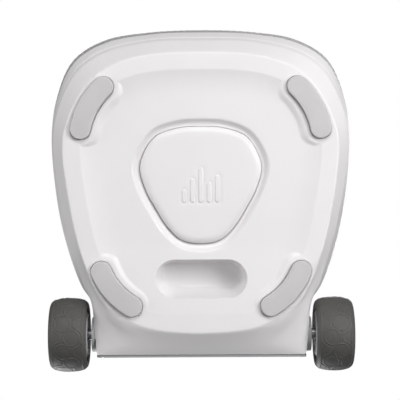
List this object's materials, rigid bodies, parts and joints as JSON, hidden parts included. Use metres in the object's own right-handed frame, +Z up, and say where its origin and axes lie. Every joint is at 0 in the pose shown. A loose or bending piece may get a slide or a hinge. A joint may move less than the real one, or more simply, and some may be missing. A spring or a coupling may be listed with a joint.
{
  "type": "wheeled party speaker",
  "caption": "Tall portable loudspeaker cabinet on a moulded base with rubber feet, a lifting pocket, transport wheels at the rear corners and a telescopic pull handle.",
  "frame": {"origin": "on the floor, under the middle of the object's box", "axes": "+Z up, the grille faces -Y, +X to the right seen from the front"},
  "size_m": [0.334, 0.381, 0.669],
  "materials": {
    "shell_white": "satin moulded",
    "trim_grey": "satin moulded",
    "foot_rubber": "matt, fine grain",
    "tyre_rubber": "matt",
    "hub_grey": "satin moulded",
    "steel": "turned",
    "tube_aluminium": "anodised, brushed lengthwise",
    "grille_metal": "painted, perforated",
    "dark_plastic": "fine moulded texture",
    "black_rubber": "matt",
    "cone_fibre": "woven fibre",
    "driver_metal": "satin",
    "socket_black": "satin",
    "light_diffuser": "frosted",
    "board_green": "lacquered board"
  },
  "bodies": {
    "cabinet": {"base_pan": "shell_white", "base_cover": "shell_white", "cabinet_shell": "shell_white", "top_cap": "shell_white", "rear_panel": "trim_grey", "axle_block_left": "trim_grey", "axle_block_right": "trim_grey", "foot_front_left": "foot_rubber", "foot_front_right": "foot_rubber", "foot_rear_left": "foot_rubber", "foot_rear_right": "foot_rubber", "wheel_axle": "steel", "heat_sink": "tube_aluminium", "front_grille": "grille_metal", "front_baffle": "dark_plastic", "control_deck": "dark_plastic", "handle_guide_left": "dark_plastic", "handle_guide_right": "dark_plastic", "bass_port": "dark_plastic", "connector_panel": "dark_plastic", "battery_pack": "dark_plastic", "woofer_surround_lower": "black_rubber", "woofer_surround_upper": "black_rubber", "woofer_frame_lower": "driver_metal", "woofer_frame_upper": "driver_metal", "woofer_magnet_lower": "driver_metal", "woofer_magnet_upper": "driver_metal", "tweeter_left": "driver_metal", "tweeter_right": "driver_metal", "power_supply": "driver_metal", "jack_block": "socket_black", "power_inlet": "socket_black", "light_ring_lower": "light_diffuser", "light_ring_upper": "light_diffuser", "deck_board": "board_green", "amplifier_board": "board_green"},
    "wheel_left": {"wheel_tyre_left": "tyre_rubber", "wheel_hub_left": "hub_grey", "wheel_bush_left": "dark_plastic", "hub_cap_left": "hub_grey"},
    "wheel_right": {"wheel_tyre_right": "tyre_rubber", "wheel_hub_right": "hub_grey", "wheel_bush_right": "dark_plastic", "hub_cap_right": "hub_grey"},
    "handle": {"handle_tube_left": "tube_aluminium", "handle_tube_right": "tube_aluminium", "handle_grip": "dark_plastic"},
    "release_key": {"release_button": "trim_grey"},
    "power_key": {"power_button": "trim_grey"},
    "pairing_key": {"pairing_button": "trim_grey"},
    "volume_down_key": {"volume_down_button": "trim_grey"},
    "play_key": {"play_button": "trim_grey"},
    "volume_up_key": {"volume_up_button": "trim_grey"},
    "gain_left": {"gain_knob_left": "trim_grey"},
    "gain_right": {"gain_knob_right": "trim_grey"},
    "flap": {"splash_flap": "black_rubber"},
    "battery_hatch": {"battery_door": "trim_grey"},
    "cone_lower": {"woofer_cone_lower": "cone_fibre"},
    "cone_upper": {"woofer_cone_upper": "cone_fibre"}
  },
  "joints": [
    {"name": "wheel_left_spin", "type": "hinge", "parent": "cabinet", "child": "wheel_left", "pos_m": [-0.147, 0.1495, 0.044], "axis": [1, 0, 0], "continuous": true},
    {"name": "wheel_right_spin", "type": "hinge", "parent": "cabinet", "child": "wheel_right", "pos_m": [0.147, 0.1495, 0.044], "axis": [1, 0, 0], "continuous": true},
    {"name": "handle_slide", "type": "slide", "parent": "cabinet", "child": "handle", "axis": [0, 0, 1], "range_m": [0, 0.36]},
    {"name": "release_press", "type": "slide", "parent": "handle", "child": "release_key", "axis": [0, 0, -1], "range_m": [0, 0.003], "stiffness_N_per_m": 600, "springref_m": -0.001},
    {"name": "power_press", "type": "slide", "parent": "cabinet", "child": "power_key", "axis": [0, 0, -1], "range_m": [0, 0.0012], "stiffness_N_per_m": 500, "springref_m": -0.0005},
    {"name": "pairing_press", "type": "slide", "parent": "cabinet", "child": "pairing_key", "axis": [0, 0, -1], "range_m": [0, 0.0012], "stiffness_N_per_m": 500, "springref_m": -0.0005},
    {"name": "volume_down_press", "type": "slide", "parent": "cabinet", "child": "volume_down_key", "axis": [0, 0, -1], "range_m": [0, 0.0012], "stiffness_N_per_m": 500, "springref_m": -0.0005},
    {"name": "play_press", "type": "slide", "parent": "cabinet", "child": "play_key", "axis": [0, 0, -1], "range_m": [0, 0.0012], "stiffness_N_per_m": 500, "springref_m": -0.0005},
    {"name": "volume_up_press", "type": "slide", "parent": "cabinet", "child": "volume_up_key", "axis": [0, 0, -1], "range_m": [0, 0.0012], "stiffness_N_per_m": 500, "springref_m": -0.0005},
    {"name": "gain_left_turn", "type": "hinge", "parent": "cabinet", "child": "gain_left", "pos_m": [-0.038, 0.165, 0.366], "axis": [0, 1, 0], "range_deg": [-135, 135]},
    {"name": "gain_right_turn", "type": "hinge", "parent": "cabinet", "child": "gain_right", "pos_m": [-0.014, 0.165, 0.366], "axis": [0, 1, 0], "range_deg": [-135, 135]},
    {"name": "flap_hinge", "type": "hinge", "parent": "cabinet", "child": "flap", "pos_m": [0, 0.1759, 0.405], "axis": [1, 0, 0], "range_deg": [0, 95]},
    {"name": "battery_door_hinge", "type": "hinge", "parent": "cabinet", "child": "battery_hatch", "pos_m": [0, 0.1733, 0.0703], "axis": [-1, 0, 0], "range_deg": [0, 90]},
    {"name": "cone_lower_stroke", "type": "slide", "parent": "cabinet", "child": "cone_lower", "axis": [0, -1, 0], "range_m": [-0.003, 0.003], "stiffness_N_per_m": 2500, "deforming": ["woofer_surround_lower"]},
    {"name": "cone_upper_stroke", "type": "slide", "parent": "cabinet", "child": "cone_upper", "axis": [0, -1, 0], "range_m": [-0.003, 0.003], "stiffness_N_per_m": 2500, "deforming": ["woofer_surround_upper"]}
  ]
}
